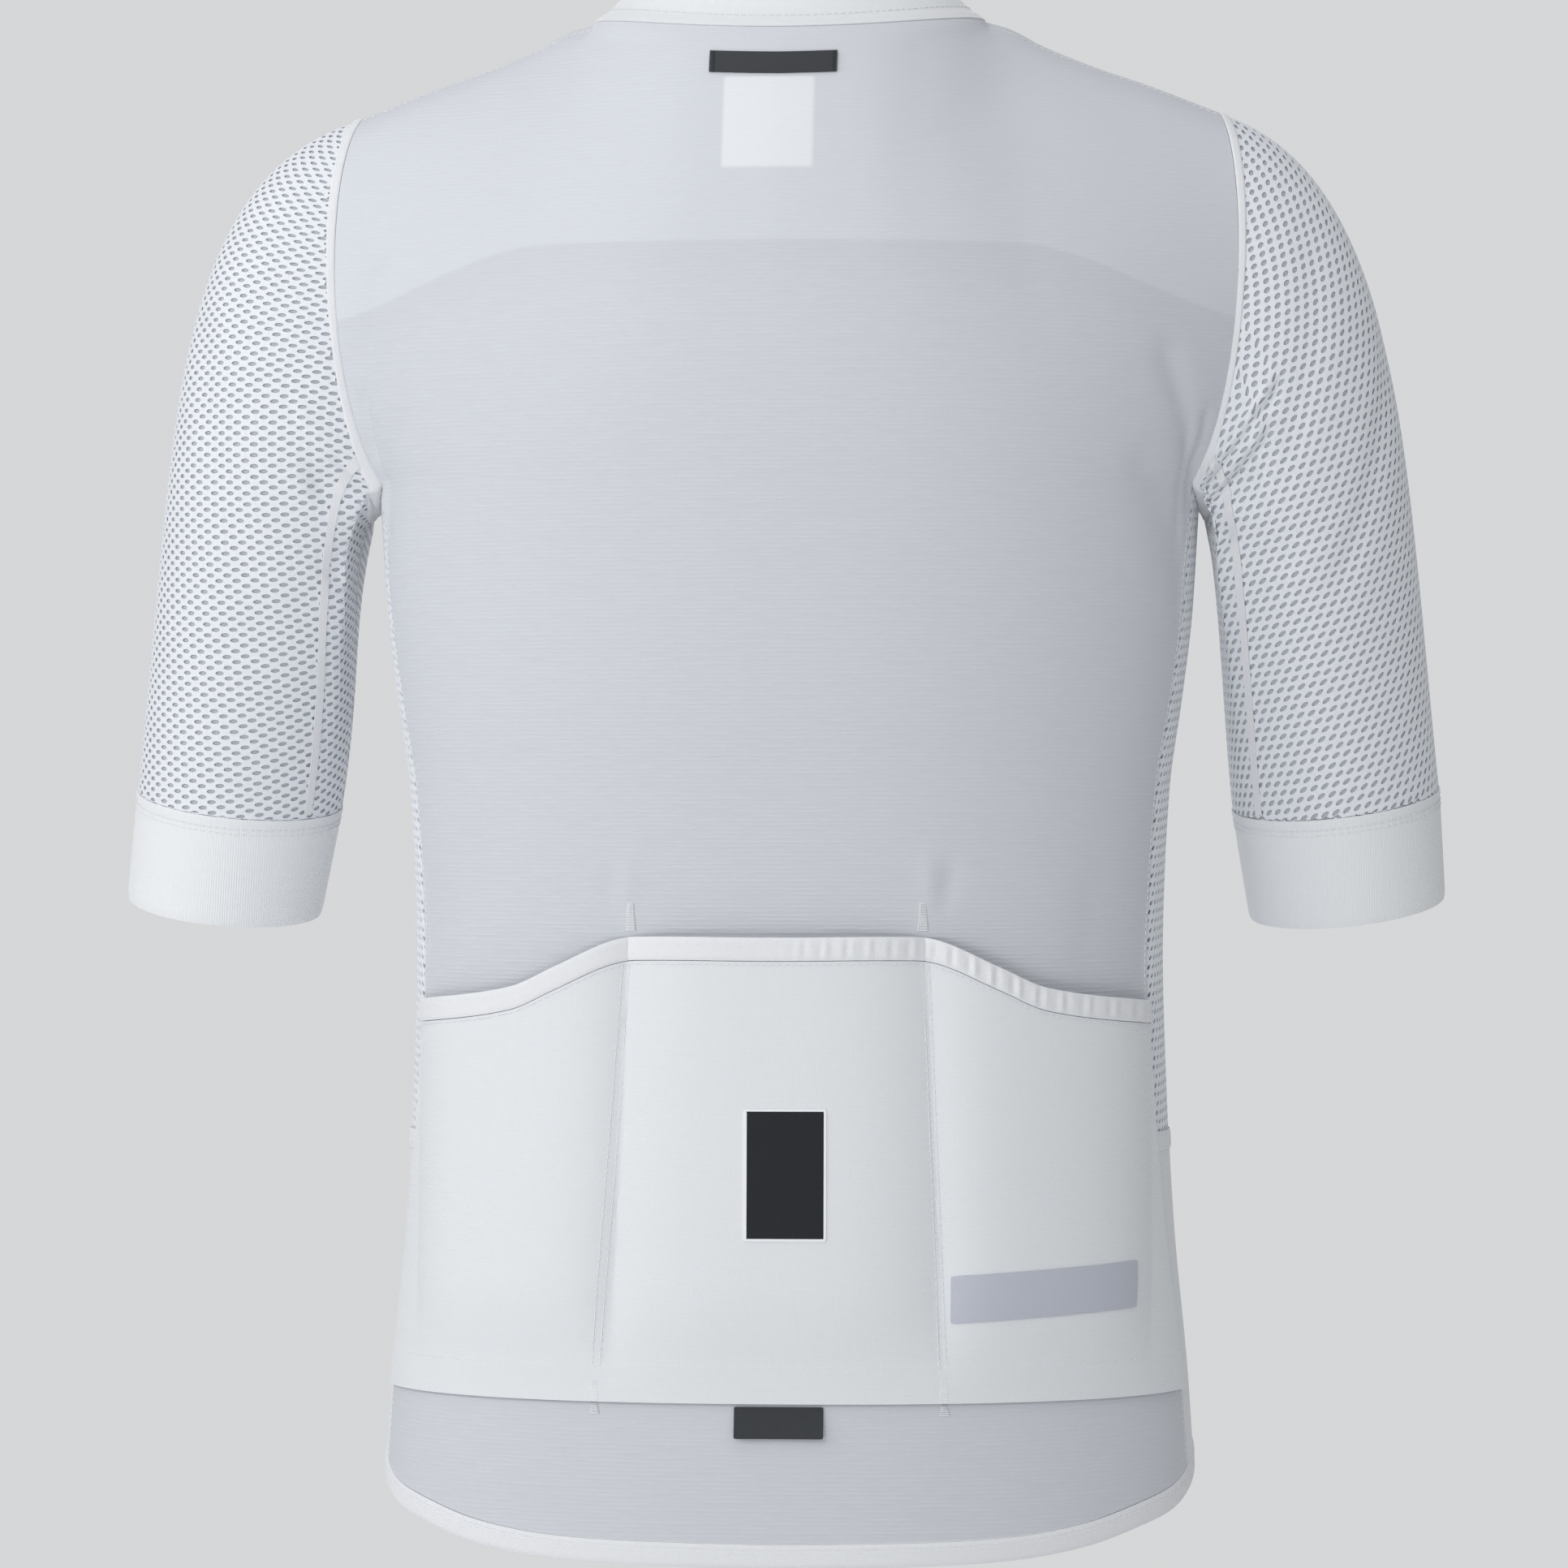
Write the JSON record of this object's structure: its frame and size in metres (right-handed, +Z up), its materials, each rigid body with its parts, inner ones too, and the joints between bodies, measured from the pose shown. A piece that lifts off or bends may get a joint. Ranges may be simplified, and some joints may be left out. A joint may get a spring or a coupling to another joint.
{
  "type": "cycling jersey",
  "caption": "Worn short-sleeved cycling jersey with an empty hollow, full front zip, stand collar, perforated sleeves and sides, and three back pockets.",
  "frame": {"origin": "centre of the neck opening, level with the side of the neck where the collar meets the shoulder", "axes": "+Z up the worn garment, -Y towards the front, +X towards the wearer's left"},
  "size_m": [0.5965, 0.2265, 0.703],
  "materials": {
    "ribbed_cloth": "fine crosswise micro rib, matt",
    "pocket_cloth": "smooth stretch knit, faint sheen",
    "mesh_cloth": "perforated warp knit",
    "cuff_knit": "fine vertical knit",
    "white_tape": "smooth elastic tape",
    "charcoal_label": "woven label, matt",
    "grey_strip": "smooth printed strip, satin",
    "zip_plastic": "moulded coil",
    "zip_metal": "satin"
  },
  "bodies": {
    "garment": {"back_panel": "ribbed_cloth", "front_left": "ribbed_cloth", "front_right": "ribbed_cloth", "side_mesh_left": "mesh_cloth", "side_mesh_right": "mesh_cloth", "side_lower_left": "pocket_cloth", "side_lower_right": "pocket_cloth", "hem_band": "white_tape", "collar": "cuff_knit", "armhole_tape_left": "white_tape", "armhole_tape_right": "white_tape", "sleeve_left": "mesh_cloth", "sleeve_right": "mesh_cloth", "cuff_left": "cuff_knit", "cuff_right": "cuff_knit", "underarm_tape_left": "white_tape", "underarm_tape_right": "white_tape", "pocket_panel": "pocket_cloth", "pocket_binding": "white_tape", "pocket_patch": "charcoal_label", "grey_strip": "grey_strip", "pocket_tag": "charcoal_label", "neck_tab": "charcoal_label", "neck_label": "white_tape", "zip_chain": "zip_plastic", "zip_tape_left": "white_tape", "zip_tape_right": "white_tape", "zip_slider": "zip_metal"},
    "pull_tab": {"zip_pull": "zip_metal"}
  },
  "joints": [
    {"name": "pull_swing", "type": "hinge", "parent": "garment", "child": "pull_tab", "pos_m": [0, -0.0582, -0.02602], "axis": [-1, 0, 0], "range_deg": [0, 140]}
  ]
}
